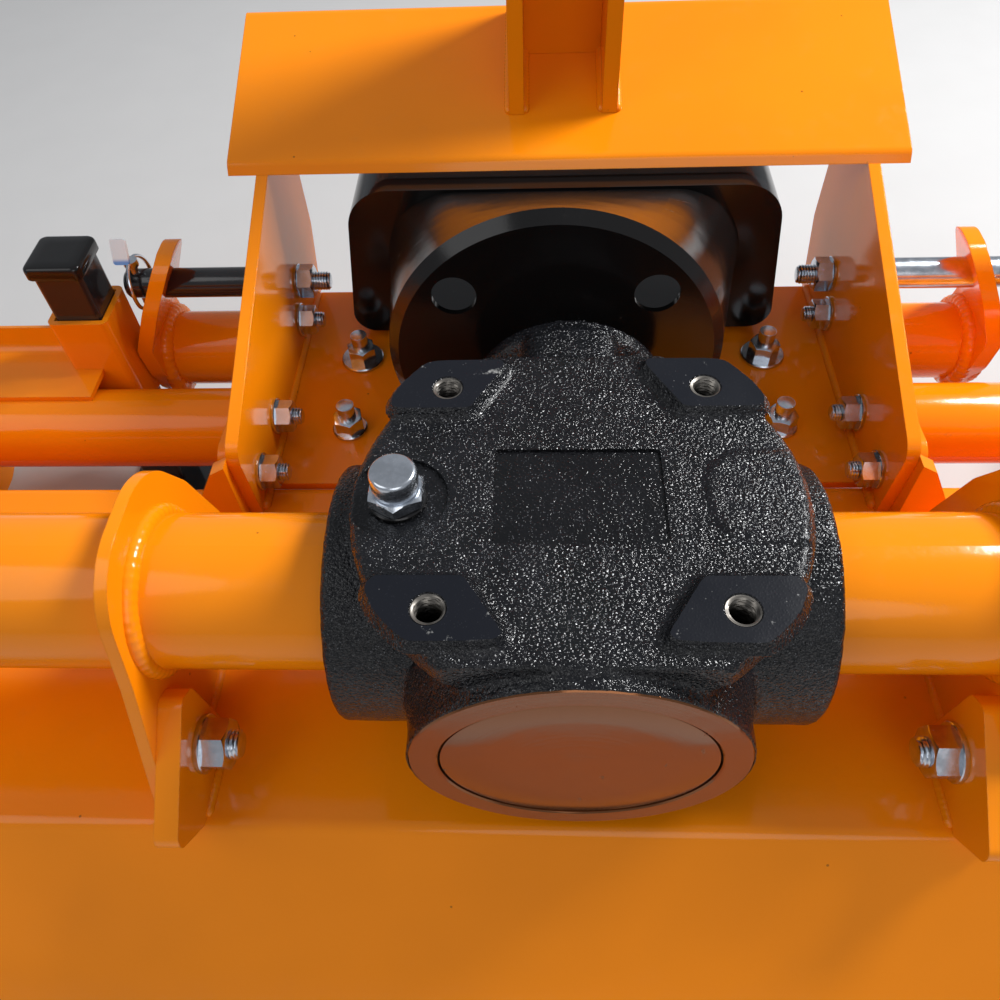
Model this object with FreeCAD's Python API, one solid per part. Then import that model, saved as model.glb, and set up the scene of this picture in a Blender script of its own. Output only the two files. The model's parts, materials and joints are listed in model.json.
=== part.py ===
import FreeCAD, Part
import math
import os

from FreeCAD import Vector

# Rotavator headstock with its gearbox, millimetres.
# X runs to the machine's right, Y forward to the tractor, Z up.
# Heights and lengths are measured from the point where the input and output axes cross.
# The finished pieces drop by pad_height, so the origin is the centre of the four top pads.

# Gearbox
pad_height = 80.0
pad_rise = 5.0
pad_pitch = 115.0
pad_hole_d = 10.2
pad_hole_depth = 24.0
pad_skirt = 4.0
top_radius = 95.0
top_front = 84.0
top_back = -79.0
rim_height = 13.0
rim_bevel = 3.0
body_radius = 80.0
body_bottom = -78.0
body_cove = 40.0
barrel_d = 122.0
side_face = 108.0
barrel_bevel = 2.0
back_face = -86.0
back_ring_d = 145.0
back_root = -56.0
cap_d = 118.0
cap_t = 5.0
cap_recess = 0.8
neck_d = 92.0
neck_end = 118.0
flange_d = 110.0
flange_end = 133.0
spigot_d = 70.0
spigot_end = 157.0
lump_half = 25.0
lump_top = 57.0
lump_back = 96.0
plug_x = 75.0
plug_y = -1.0
plug_af = 22.0
plug_spot_d = 42.0
plug_spot_depth = 1.5
plug_washer_d = 26.0
plug_washer_t = 2.0
plug_hex_top = 8.0
plug_top = 20.0
plug_dome = 2.0
boss_rise = 1.4
boss_inner = 53.0
boss_back = -24.0
boss_front = 22.0
boss_corner = 18.0
panel_half_x = 35.0
panel_half_y = 24.5
panel_depth = 0.8

# Shafts
shaft_d = 35.0
running_gap = 0.05
spline_d = 34.8
spline_root_d = 29.0
spline_tooth = 8.6
spline_teeth = 6
input_end = 262.0
input_spline = 80.0
output_stub = 60.0
output_spline = 45.0
shaft_inner_end = 40.0

# Frame tubes
frame_half = 525.0
axle_tube_d = 76.1
axle_tube_wall = 5.0
tube_d = 60.3
tube_wall = 5.0
tubes_z = -128.0
cross_tube_y = 228.0
front_tube_y = 320.0
tube_overhang = 32.0

# End plates, which stand on the floor
floor_z = -260.0
end_plate_t = 8.0
end_ring = 26.0
end_back = -238.0
end_foot = 40.0
end_bolt_circle = 104.0
end_bolt_d = 13.0

# Deck over the rotor
deck_z = -92.0
deck_t = 4.0
deck_bend = 4.0
deck_back = -84.0
deck_front = 140.0
deck_back_angle = 50.0
deck_back_drop = 150.0
deck_apron_angle = 80.0
deck_apron_drop = 110.0

# Headstock
side_inner = 198.0
side_t = 8.0
side_back = 117.0
side_corner_y = 113.0
side_corner_z = -31.0
side_front = 372.0
hood_slope = 20.5
hood_half = 225.0
hood_t = 5.0
hood_back = 306.0
hood_front = 430.0
hood_lip = 8.0
hood_bend = 2.0
lip_angle = 60.0
base_t = 6.0
base_back = 142.0
base_front = 345.0
foot_t = 8.0
foot_height = 62.0
foot_fall = 14.0
foot_setback = 30.0
gusset_reach = 30.0
gusset_t = 10.0
u_bolt_x = 150.0
u_bolt_d = 12.0
u_bolt_rise = 24.0

# Hitch
pin_y = 303.0
pin_z = -48.0
hitch_pin_d = 22.0
pin_inner_reach = 26.0
pin_stub = 27.0
ear_inner = 288.0
ear_t = 12.0
ear_skirt = 8.0
ear_radius = 33.0
top_link_y = 380.0
top_link_z = 312.0
top_link_hole_d = 19.5
top_ear_inner = 26.0
top_ear_t = 10.0
top_ear_radius = 30.0
top_ear_foot = 42.0
web_setback = 6.0
web_t = 8.0
web_top = 250.0

# Saddles over the axle tubes, each with a lug that is bolted to the deck
saddle_outer = 206.0
saddle_t = 6.0
saddle_radius = 53.0
saddle_foot = 92.0
lug_t = 12.0
lug_hole_y = -52.0
lug_hole_z = -64.0
lug_hole_d = 16.0

# Guard round the power input
guard_wall = 3.5
guard_ring_d = 196.0
guard_ring_x = -7.0
guard_ring_z = 4.0
guard_back = 157.0
guard_bead = 6.0
guard_wall_y = 288.0
guard_front = 352.0
guard_root_half = 122.0
guard_root_corner = 50.0
guard_root_gap = 2.0
guard_top_half = 144.0
guard_low_half = 158.0
guard_top = 35.0
guard_bottom = -84.0
guard_top_corner = 30.0
guard_low_corner = 16.0
guard_window_left = -63.0
guard_window_right = 48.0
guard_window_z = 52.0
guard_window_d = 25.0
guard_bore = 54.0

# Parking stand
stand_post = 35.0
stand_wall = 3.0
sleeve_gap = 0.5
sleeve_wall = 4.5
sleeve_top = -50.0
sleeve_length = 90.0
stand_top = -3.0
stand_foot_clear = 2.0
stand_foot = 75.0
stand_foot_t = 6.0
cap_wall = 3.0
cap_skirt = 10.0

# Shelves from the stand's line out to the end plates
shelf_front = 281.0
shelf_lean = 5.0
shelf_rise = 18.0
shelf_overlap = 25.0


def box(x0, x1, y0, y1, z0, z1):
    lo = Vector(min(x0, x1), min(y0, y1), min(z0, z1))
    return Part.makeBox(abs(x1 - x0), abs(y1 - y0), abs(z1 - z0), lo)


def rod_x(x0, x1, d, y=0.0, z=0.0):
    return Part.makeCylinder(d / 2, abs(x1 - x0), Vector(min(x0, x1), y, z), Vector(1, 0, 0))


def rod_y(y0, y1, d, x=0.0, z=0.0):
    return Part.makeCylinder(d / 2, y1 - y0, Vector(x, y0, z), Vector(0, 1, 0))


def rod_z(z0, z1, d, x=0.0, y=0.0):
    return Part.makeCylinder(d / 2, z1 - z0, Vector(x, y, z0), Vector(0, 0, 1))


def pipe_x(x0, x1, d, wall, y, z):
    return rod_x(x0, x1, d, y, z).cut(rod_x(x0, x1, d - 2 * wall, y, z))


def hexagon(af, z0, z1, x, y):
    r = af / math.sqrt(3)
    points = [Vector(x + r * math.cos(math.radians(60 * i)), y + r * math.sin(math.radians(60 * i)), z0)
              for i in range(7)]
    return Part.Face(Part.makePolygon(points)).extrude(Vector(0, 0, z1 - z0))


def rounded_wire(rows, to_3d):
    """Closed outline from rows of (u, v, corner radius); each corner becomes a tangent arc."""
    edges = []
    ends = []
    count = len(rows)
    for i, (u, v, radius) in enumerate(rows):
        here = Vector(u, v, 0)
        before = Vector(rows[i - 1][0], rows[i - 1][1], 0) - here
        after = Vector(rows[(i + 1) % count][0], rows[(i + 1) % count][1], 0) - here
        before.normalize()
        after.normalize()
        half = before.getAngle(after) / 2
        if radius <= 0 or abs(half - math.pi / 2) < 1e-6:
            ends.append((here, None, here))
            continue
        reach = radius / math.tan(half)
        middle = before + after
        middle.normalize()
        centre = here + middle * (radius / math.sin(half))
        ends.append((here + before * reach, centre - middle * radius, here + after * reach))
    for i in range(count):
        start, top, stop = (to_3d(p) if p is not None else None for p in ends[i])
        if top is not None:
            edges.append(Part.Arc(start, top, stop).toShape())
        following = to_3d(ends[(i + 1) % count][0])
        if stop.distanceToPoint(following) > 1e-6:
            edges.append(Part.LineSegment(stop, following).toShape())
    return Part.Wire(edges)


def plate_x(rows, x0, x1):
    """Plate whose outline lies in the side view, rows of (y, z, corner radius)."""
    low = min(x0, x1)
    wire = rounded_wire(rows, lambda p: Vector(low, p.x, p.y))
    return Part.Face(wire).extrude(Vector(abs(x1 - x0), 0, 0))


def plate_y(rows, y0, y1):
    """Plate whose outline lies in the front view, rows of (x, z, corner radius)."""
    wire = rounded_wire(rows, lambda p: Vector(p.x, y0, p.y))
    return Part.Face(wire).extrude(Vector(0, y1 - y0, 0))


def plate_z(rows, z0, z1):
    """Plate whose outline lies in the top view, rows of (x, y, corner radius)."""
    wire = rounded_wire(rows, lambda p: Vector(p.x, p.y, z0))
    return Part.Face(wire).extrude(Vector(0, 0, z1 - z0))


def grown(rows, by):
    """The same outline moved outwards by a distance, as rows for a loft with the first one."""
    count = len(rows)
    turn = sum(rows[i - 1][0] * rows[i][1] - rows[i][0] * rows[i - 1][1] for i in range(count))
    out = 1.0 if turn > 0 else -1.0
    moved = []
    for i, (u, v, radius) in enumerate(rows):
        first = Vector(u - rows[i - 1][0], v - rows[i - 1][1], 0).normalize()
        second = Vector(rows[(i + 1) % count][0] - u, rows[(i + 1) % count][1] - v, 0).normalize()
        n1 = Vector(first.y, -first.x, 0) * out
        n2 = Vector(second.y, -second.x, 0) * out
        middle = (n1 + n2).normalize()
        reach = by / middle.dot(n1)
        moved.append((u + middle.x * reach, v + middle.y * reach, radius + by))
    return moved


def loft(wires, ruled=True):
    return Part.makeLoft(wires, True, ruled)


def body_profile():
    """Half section of the main body: flat bottom, straight flank, cove out to the rim of the table."""
    top = pad_height - pad_rise
    under_rim = top - rim_height
    reach = top_radius - body_radius
    cove = (reach ** 2 + body_cove ** 2) / (2 * reach)
    half_turn = math.asin(body_cove / cove) / 2
    middle = Vector(body_radius + cove * (1 - math.cos(half_turn)), 0,
                    under_rim - body_cove + cove * math.sin(half_turn))
    start = Vector(body_radius, 0, under_rim - body_cove)
    end = Vector(top_radius, 0, under_rim)
    lower = [Vector(0, 0, top), Vector(0, 0, body_bottom), Vector(body_radius - 22, 0, body_bottom),
             Vector(body_radius - 4, 0, body_bottom + 18), start]
    upper = [end, Vector(top_radius, 0, top - rim_bevel), Vector(top_radius - rim_bevel, 0, top),
             Vector(0, 0, top)]
    edges = [Part.LineSegment(a, b).toShape() for a, b in zip(lower, lower[1:])]
    edges.append(Part.Arc(start, middle, end).toShape())
    edges += [Part.LineSegment(a, b).toShape() for a, b in zip(upper, upper[1:])]
    return Part.Face(Part.Wire(edges))


# Outlines of a front pad and a rear pad right of the middle: x and y from the pad's hole, corner radius
front_pad = [(-10.5, -12.5, 3), (27.5, -12.5, 5), (21.5, 2.5, 12), (10.5, 17.5, 8), (-27.5, 18.5, 3)]
rear_pad = [(-12.5, 14.5, 3), (27.5, 14.5, 5), (20.5, -0.5, 12), (7.5, -13.5, 8), (-29.5, -12.5, 3)]


def pad_holes():
    half = pad_pitch / 2
    return [(sx * half, sy * half) for sx in (-1, 1) for sy in (-1, 1)]


def housing_pad(x, y):
    """Machined pad round one threaded hole, with a cast slope down to the table."""
    outline = front_pad if y > 0 else rear_pad
    side = 1 if x > 0 else -1
    rows = [(x + side * u, y + v, radius) for u, v, radius in outline]
    top = pad_height - pad_rise
    skirt = loft([rounded_wire(grown(rows, pad_skirt), lambda p: Vector(p.x, p.y, top)),
                  rounded_wire(rows, lambda p: Vector(p.x, p.y, pad_height - 1))])
    return skirt.fuse(plate_z(rows, top - 4, pad_height))


def housing_neck():
    """Front neck, its flange and the spigot that carries the guard, with the cast lump on top."""
    neck = rod_y(body_radius / 2, neck_end, neck_d)
    neck = neck.fuse(Part.makeCone(neck_d / 2 - 2, flange_d / 2, flange_end - neck_end - 5,
                                   Vector(0, neck_end - 4, 0), Vector(0, 1, 0)))
    neck = neck.fuse(rod_y(neck_end + 6, flange_end, flange_d))
    neck = neck.fuse(rod_y(flange_end - 1, spigot_end, spigot_d))
    lump = [(-lump_half, 0, 0), (-lump_half, lump_top, 12), (lump_half, lump_top, 12), (lump_half, 0, 0)]
    return neck.fuse(plate_y(lump, lump_back, neck_end + 7))


def housing_barrel(side):
    """Side barrel that takes the axle tube, from the middle out to its machined face."""
    straight = side_face - barrel_bevel
    barrel = rod_x(0, side * straight, barrel_d)
    tip = Part.makeCone(barrel_d / 2, barrel_d / 2 - barrel_bevel, barrel_bevel,
                        Vector(side * straight, 0, 0), Vector(side, 0, 0))
    return barrel.fuse(tip)


def gearbox_housing():
    top = pad_height - pad_rise
    body = body_profile().revolve(Vector(0, 0, 0), Vector(0, 0, 1), 360)
    wide = 2 * top_radius
    boss = [(boss_inner, boss_back, boss_corner), (top_radius, boss_back, 0), (top_radius, boss_front, 0),
            (boss_inner, boss_front, boss_corner)]
    under = rod_z(top - 4, top + boss_rise, 2 * (top_radius - rim_bevel))
    body = body.fuse(plate_z(boss, top - 4, top + boss_rise).common(under))
    body = body.common(box(-wide, wide, top_back, top_front, body_bottom, pad_height))
    for side in (-1, 1):
        body = body.fuse(housing_barrel(side))
    ring_root = Part.makeCone(back_ring_d / 2, body_radius - 4, back_root - back_face - 12,
                              Vector(0, back_face + 12, 0), Vector(0, 1, 0))
    ring = rod_y(back_face, back_face + 12, back_ring_d).fuse(ring_root)
    body = body.fuse(ring.common(box(-wide, wide, back_face, 0, body_bottom, top - 1)))
    body = body.fuse(housing_neck())
    for x, y in pad_holes():
        body = body.fuse(housing_pad(x, y))
    body = body.removeSplitter()
    for x, y in pad_holes():
        body = body.cut(rod_z(pad_height - pad_hole_depth, pad_height, pad_hole_d, x, y))
    panel = [(-panel_half_x, -panel_half_y, 2), (panel_half_x, -panel_half_y, 2),
             (panel_half_x, panel_half_y, 2), (-panel_half_x, panel_half_y, 2)]
    body = body.cut(plate_z(panel, top - panel_depth, top + 1))
    body = body.cut(rod_z(top - plug_spot_depth, top + 1, plug_spot_d, -plug_x, plug_y))
    body = body.cut(rod_y(back_face, back_face + cap_t + cap_recess, cap_d))
    body = body.cut(rod_y(shaft_inner_end, spigot_end, shaft_d + 2 * running_gap))
    body = body.cut(rod_x(shaft_inner_end, side_face, shaft_d + 2 * running_gap))
    return body


def rear_cap():
    face = back_face + cap_recess
    return rod_y(face, face + cap_t, cap_d)


def filler_plug():
    """Breather plug: washer, hexagon and a domed cap, screwed into a round recess on the left."""
    seat = pad_height - pad_rise - plug_spot_depth
    shoulder = seat + plug_top - plug_dome
    radius = plug_af / 2 - 0.75
    plug = rod_z(seat, seat + plug_washer_t, plug_washer_d, -plug_x, plug_y)
    plug = plug.fuse(hexagon(plug_af, seat + plug_washer_t, seat + plug_hex_top, -plug_x, plug_y))
    plug = plug.fuse(rod_z(seat + plug_hex_top, shoulder, 2 * radius, -plug_x, plug_y))
    plug = plug.fuse(Part.makeCone(radius, radius - plug_dome, plug_dome,
                                   Vector(-plug_x, plug_y, shoulder), Vector(0, 0, 1)))
    return plug.removeSplitter()


def splined(start, length, along):
    """Six-tooth splined shaft end from start, over length, along the unit vector given."""
    core = Part.makeCylinder(spline_root_d / 2, length, start, along)
    blank = Part.makeCylinder(spline_d / 2, length, start, along)
    tooth = Part.makeBox(length, spline_d, spline_tooth, Vector(0, 0, -spline_tooth / 2))
    teeth = None
    for i in range(spline_teeth):
        one = tooth.copy()
        one.rotate(Vector(0, 0, 0), Vector(1, 0, 0), 360.0 * i / spline_teeth)
        teeth = one if teeth is None else teeth.fuse(one)
    turn = FreeCAD.Rotation(Vector(1, 0, 0), along)
    teeth.Placement = FreeCAD.Placement(start, turn)
    return core.fuse(blank.common(teeth)).removeSplitter()


def input_shaft():
    journal = rod_y(shaft_inner_end + 1, input_end - input_spline, shaft_d)
    spline = splined(Vector(0, input_end - input_spline, 0), input_spline, Vector(0, 1, 0))
    return journal.fuse(spline).removeSplitter()


def output_shaft():
    tip = frame_half + output_stub
    journal = rod_x(shaft_inner_end + 1, tip - output_spline, shaft_d)
    spline = splined(Vector(tip - output_spline, 0, 0), output_spline, Vector(1, 0, 0))
    return journal.fuse(spline).removeSplitter()


def axle_tube(side):
    return pipe_x(side * side_face, side * (frame_half - end_plate_t), axle_tube_d, axle_tube_wall, 0, 0)


def saddle(side):
    """Plate over the axle tube, welded to it and to the deck on both sides of it."""
    foot = deck_z
    r = saddle_radius
    crown = r + 3
    rows = [(-saddle_foot, foot, 4), (14 - saddle_foot, foot + 34, 30), (-r, 0, 30), (19 - r, crown, 40),
            (r - 19, crown, 40), (r + 5, 14, 30), (saddle_foot, foot + 6, 4), (saddle_foot, foot, 0)]
    inner = side * (saddle_outer - saddle_t)
    plate = plate_x(rows, inner, side * saddle_outer)
    return plate.cut(rod_x(inner, side * saddle_outer, axle_tube_d))


def deck_lug(side):
    """Thick tab against the saddle, with the hole of the bolt that holds the deck."""
    inner = saddle_outer - saddle_t
    y, z = lug_hole_y, lug_hole_z
    rows = [(y + 22, deck_z, 0), (y + 16, z + 32, 6), (y + 6, z + 38, 6), (y - 54, z - 2, 8),
            (y - 32, deck_z, 4)]
    plate = plate_x(rows, side * (inner - lug_t), side * inner)
    return plate.cut(rod_x(side * (inner - lug_t), side * inner, lug_hole_d, y, z))


def deck_outline():
    """Folded sheet in the side view, points of (y, z) along its upper face, from back to front."""
    a = math.radians(deck_back_angle)
    b = math.radians(deck_apron_angle)
    back_low = (deck_back - deck_back_drop / math.tan(a), deck_z - deck_back_drop)
    front_low = (deck_front + deck_apron_drop / math.tan(b), deck_z - deck_apron_drop)
    return [back_low, (deck_back, deck_z), (deck_front, deck_z), front_low]


def offset_point(point, first, second, distance):
    """Corner of the sheet's lower face below point, between directions first and second."""
    n1 = Vector(first.y, -first.x, 0)
    n2 = Vector(second.y, -second.x, 0)
    middle = n1 + n2
    middle.normalize()
    return point + middle * (distance / middle.dot(n1))


def sheet_rows(points, thickness, radius):
    """Closed outline rows of a folded sheet whose upper face follows points."""
    upper = [Vector(y, z, 0) for y, z in points]
    runs = [(upper[i + 1] - upper[i]).normalize() for i in range(len(upper) - 1)]
    lower = []
    for i, point in enumerate(upper):
        first = runs[max(i - 1, 0)]
        second = runs[min(i, len(runs) - 1)]
        lower.append(offset_point(point, first, second, thickness))
    last = len(upper) - 1
    rows = [(p.x, p.y, radius + thickness if 0 < i < last else 0) for i, p in enumerate(upper)]
    rows += [(lower[i].x, lower[i].y, radius if 0 < i < last else 0) for i in range(last, -1, -1)]
    return rows


def hood_deck():
    half = frame_half - end_plate_t
    return plate_x(sheet_rows(deck_outline(), deck_t, deck_bend), -half, half)


def end_plate(side):
    """Side of the frame: a ring round the axle, a foot on the floor and an arm out over the tubes."""
    ring = axle_tube_d / 2 + end_ring
    arm = tube_top() + 18
    rows = [(end_back, floor_z, 14), (end_back, floor_z + end_foot, 14), (deck_back - 26, deck_z + 26, 30),
            (-ring, 20, 40), (-ring * 0.6, ring, 34), (ring * 0.6, ring, 34), (ring + 8, 10, 40),
            (deck_front + 10, deck_z + 20, 40), (front_tube_y + 20, arm, 34),
            (front_tube_y + 52, tubes_z, 34), (front_tube_y - 20, floor_z, 40)]
    inner, outer = side * (frame_half - end_plate_t), side * frame_half
    plate = plate_x(rows, inner, outer)
    plate = plate.cut(rod_x(inner, outer, shaft_d + 12))
    reach = end_bolt_circle / 2
    for i in range(4):
        angle = math.radians(45 + 90 * i)
        plate = plate.cut(rod_x(inner, outer, end_bolt_d, reach * math.cos(angle), reach * math.sin(angle)))
    return plate


def headstock_top_z(y):
    return side_corner_z + (y - side_corner_y) * math.tan(math.radians(hood_slope))


def tube_top():
    return tubes_z + tube_d / 2


def headstock_side(side):
    """Side plate: stands on the deck at its back and on the two tubes, notched for the hood's lip."""
    rows = [(side_back, deck_z, 0), (side_corner_y, side_corner_z, 14),
            (side_front, headstock_top_z(side_front), 6), (side_front, pin_z + 4, 16),
            (side_front - 18, tube_top(), 0), (base_back, tube_top(), 0), (base_back, deck_z, 0)]
    inner, outer = side * side_inner, side * (side_inner + side_t)
    plate = plate_x(rows, inner, outer).cut(hood_plate())
    return plate.cut(rod_x(inner, outer, hitch_pin_d, pin_y, pin_z))


def u_bolt_legs():
    reach = (tube_d + u_bolt_d) / 2
    return [(sx * u_bolt_x, cross_tube_y + sy * reach) for sx in (-1, 1) for sy in (-1, 1)]


def headstock_base():
    """Floor of the headstock, held down on the cross tube by the U-bolts."""
    low = tube_top()
    plate = box(-side_inner, side_inner, base_back, base_front, low, low + base_t)
    for x, y in u_bolt_legs():
        plate = plate.cut(rod_z(low, low + base_t, u_bolt_d, x, y))
    return plate


def hood_plate():
    """Sloping plate on the side plates, with a folded lip at the back and the front."""
    a = math.radians(hood_slope)
    lip = math.radians(lip_angle)
    back = Vector(hood_back, hood_top_z(hood_back), 0)
    front = Vector(hood_front, hood_top_z(hood_front), 0)
    fold = Vector(math.cos(lip), math.sin(lip), 0) * hood_lip
    back_low = (back.x - fold.x, back.y - fold.y)
    front_low = (front.x + fold.x, front.y - fold.y)
    rows = sheet_rows([back_low, (back.x, back.y), (front.x, front.y), front_low], hood_t, hood_bend)
    return plate_x(rows, -hood_half, hood_half)


def hood_top_z(y):
    return headstock_top_z(y) + hood_t / math.cos(math.radians(hood_slope))


def top_link_ear(side):
    """Upright ear of the mast, with the hole for the top link's pin."""
    y, z, r = top_link_y, top_link_z, top_ear_radius
    back, front = y - top_ear_foot, y + top_ear_foot
    rows = [(back, hood_top_z(back), 0), (y - r, z - r, 20), (y - r, z + r, r - 1), (y + r, z + r, r - 1),
            (y + r, z - r, 20), (front, hood_top_z(front), 0)]
    outer = top_ear_inner + top_ear_t
    plate = plate_x(rows, side * top_ear_inner, side * outer)
    return plate.cut(rod_x(side * top_ear_inner, side * outer, top_link_hole_d, y, z))


def mast_web():
    """Plate between the two ears, square to them."""
    back = top_link_y + web_setback
    front = back + web_t
    rows = [(back, hood_top_z(back), 0), (back, web_top, 0),
            (front, web_top, 0), (front, hood_top_z(front), 0)]
    return plate_x(rows, -top_ear_inner, top_ear_inner)


def headstock_foot(side):
    """Doubler outside the side plate, over the tubes, with a gusset across to the deck at its back."""
    face = side_inner + side_t
    outer = face + foot_t
    low = tube_top()
    front = side_front - foot_setback
    rows = [(side_back, deck_z, 0), (side_back, low + foot_height, 12),
            (front, low + foot_height - foot_fall, 12), (front, low, 0),
            (base_back, low, 0), (base_back, deck_z, 0)]
    foot = plate_x(rows, side * face, side * outer)
    foot = foot.cut(rod_x(side * face, side * outer, hitch_pin_d, pin_y, pin_z))
    web_rows = [(side * face, deck_z, 0), (side * face, side_corner_z - 4, 0),
                (side * (outer + 2), side_corner_z - 10, 0), (side * (outer + gusset_reach), deck_z, 0)]
    web = plate_y(web_rows, side_back - gusset_t, side_back)
    return foot.fuse(web).removeSplitter()


def cross_tube():
    half = frame_half - end_plate_t
    return pipe_x(-half, half, tube_d, tube_wall, cross_tube_y, tubes_z)


def front_tube_half():
    return ear_inner + ear_t + tube_overhang


def front_tube():
    return pipe_x(-front_tube_half(), front_tube_half(), tube_d, tube_wall, front_tube_y, tubes_z)


def hitch_ear(side):
    """Upright plate on the front tube's end, with the lower hitch pin through its rounded top."""
    top = pin_z + ear_radius
    low = tubes_z - tube_d / 2 - ear_skirt
    back = front_tube_y - tube_d / 2 - ear_skirt
    front = front_tube_y + tube_d / 2 + ear_skirt
    rows = [(pin_y - 16, top, 21), (pin_y + 16, top, 21), (pin_y + ear_radius + 2, pin_z - 12, 16),
            (front, tubes_z, 30), (front_tube_y + 18, low, 24), (front_tube_y - 18, low, 24),
            (back, tubes_z + 8, 24), (pin_y - ear_radius - 4, pin_z - 10, 16)]
    plate = plate_x(rows, side * ear_inner, side * (ear_inner + ear_t))
    plate = plate.cut(rod_x(side * ear_inner, side * (ear_inner + ear_t), tube_d, front_tube_y, tubes_z))
    return plate.cut(rod_x(side * ear_inner, side * (ear_inner + ear_t), hitch_pin_d, pin_y, pin_z))


def hitch_pin(side):
    inner = side_inner - pin_inner_reach
    return rod_x(side * inner, side * (ear_inner + ear_t + pin_stub), hitch_pin_d, pin_y, pin_z)


def cup_wire(bead, inset, y):
    """Ring of the guard's cup as eight edges, with a flat foot level with the box below it."""
    radius = guard_ring_d / 2 - bead - inset
    foot = guard_bottom - 1 + inset + bead
    low = math.degrees(math.asin((guard_ring_z - foot) / radius))
    splits = [20, 60, 120, 160, 200, 180 + low, 360 - low, 340, 380]

    def at(angle):
        a = math.radians(angle)
        return Vector(guard_ring_x + radius * math.cos(a), y, guard_ring_z + radius * math.sin(a))

    edges = []
    for i, (start, stop) in enumerate(zip(splits, splits[1:])):
        if i == 5:
            edges.append(Part.LineSegment(at(start), at(stop)).toShape())
        else:
            edges.append(Part.Arc(at(start), at((start + stop) / 2), at(stop)).toShape())
    return Part.Wire(edges)


def guard_root_rows(inset):
    """Outline where the cup runs into the box."""
    half, corner = guard_root_half, guard_root_corner
    high, low = guard_top - guard_root_gap, guard_bottom + guard_root_gap
    rows = [(half, high, corner), (-half, high, corner), (-half, low, corner / 2), (half, low, corner / 2)]
    return grown(rows, -inset)


def guard_box_rows(inset):
    """Outline of the box round the drive shaft: wider at its foot."""
    rows = [(guard_top_half, guard_top, guard_top_corner), (-guard_top_half, guard_top, guard_top_corner),
            (-guard_low_half, guard_bottom, guard_low_corner),
            (guard_low_half, guard_bottom, guard_low_corner)]
    return grown(rows, -inset)


def guard_form(inset, back, wall_y, front):
    """Solid form of the guard: beaded round cup that widens into a box."""
    root = rounded_wire(guard_root_rows(inset), lambda p: Vector(p.x, wall_y, p.y))
    bead = guard_bead - inset
    cup = loft([cup_wire(bead, inset, back), cup_wire(0, inset, back + bead)])
    cup = cup.fuse(loft([cup_wire(0, inset, back + bead), root]))
    return cup.fuse(plate_y(guard_box_rows(inset), wall_y, front))


def pto_guard():
    shell = guard_form(0, guard_back, guard_wall_y, guard_front)
    hollow = guard_form(guard_wall, guard_back + guard_wall, guard_wall_y + guard_wall, guard_front + 1)
    shell = shell.cut(hollow)
    through = guard_back + guard_wall + 1
    shell = shell.cut(rod_y(guard_back - 1, through, guard_bore))
    for x in (guard_window_left, guard_window_right):
        shell = shell.cut(rod_y(guard_back - 1, through, guard_window_d, x, guard_window_z))
    return shell


def sleeve_width():
    return stand_post + 2 * (sleeve_gap + sleeve_wall)


def stand_rows(width, radius):
    """Square outline round the stand's centre: beside the front tube's end, against the cross tube."""
    x = -(front_tube_half() + sleeve_width() / 2)
    y = cross_tube_y + tube_d / 2 + sleeve_width() / 2
    h = width / 2
    return [(x - h, y - h, radius), (x + h, y - h, radius), (x + h, y + h, radius), (x - h, y + h, radius)]


def square_tube(width, wall, z0, z1):
    rows = stand_rows(width, wall + 1)
    return plate_z(rows, z0, z1).cut(plate_z(grown(rows, -wall), z0, z1))


def stand_sleeve():
    return square_tube(sleeve_width(), sleeve_wall, sleeve_top - sleeve_length, sleeve_top)


def stand_post_tube():
    foot_z = floor_z + stand_foot_clear
    post = square_tube(stand_post, stand_wall, foot_z + stand_foot_t, stand_top - cap_wall)
    foot = plate_z(stand_rows(stand_foot, 6), foot_z, foot_z + stand_foot_t)
    return post.fuse(foot).removeSplitter()


def stand_cap():
    """Plastic cap over the post's top end."""
    outer = plate_z(stand_rows(stand_post + 2 * cap_wall, 5), stand_top - cap_skirt, stand_top)
    hollow = plate_z(stand_rows(stand_post, stand_wall + 1), stand_top - cap_skirt, stand_top - cap_wall)
    return outer.cut(hollow)


def front_shelf(side):
    """Shelf on the cross tube with an upturned front edge, from the stand's line out to the end plate."""
    inner = front_tube_half() + sleeve_width() - shelf_overlap
    outer = frame_half - end_plate_t
    top = tube_top() + deck_t
    points = [(cross_tube_y, top), (shelf_front, top), (shelf_front + shelf_lean, top + shelf_rise)]
    shelf = plate_x(sheet_rows(points, deck_t, deck_bend), side * inner, side * outer)
    return shelf.cut(plate_z(stand_rows(sleeve_width(), sleeve_wall + 1), top - deck_t, top + shelf_rise))


def u_bolts():
    """Round bars bent under the cross tube, legs up through the headstock's floor."""
    reach = (tube_d + u_bolt_d) / 2
    below = tubes_z - reach - u_bolt_d
    bolts = []
    for side in (-1, 1):
        x = side * u_bolt_x
        bend = Part.makeTorus(reach, u_bolt_d / 2, Vector(x, cross_tube_y, tubes_z), Vector(1, 0, 0))
        bolt = bend.common(box(x - u_bolt_d, x + u_bolt_d, cross_tube_y - tube_d, cross_tube_y + tube_d,
                               below, tubes_z))
        for way in (-1, 1):
            bolt = bolt.fuse(rod_z(tubes_z, tube_top() + base_t + u_bolt_rise, u_bolt_d, x,
                                   cross_tube_y + way * reach))
        bolts.append(bolt.removeSplitter())
    return Part.makeCompound(bolts)


def save(name, shape):
    piece = shape.copy()
    piece.translate(Vector(0, 0, -pad_height))
    for solid in piece.Solids:
        if not solid.isValid():
            print("invalid solid in", name)
    piece.exportStep("parts/" + name + ".step")


os.makedirs("parts", exist_ok=True)

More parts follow.
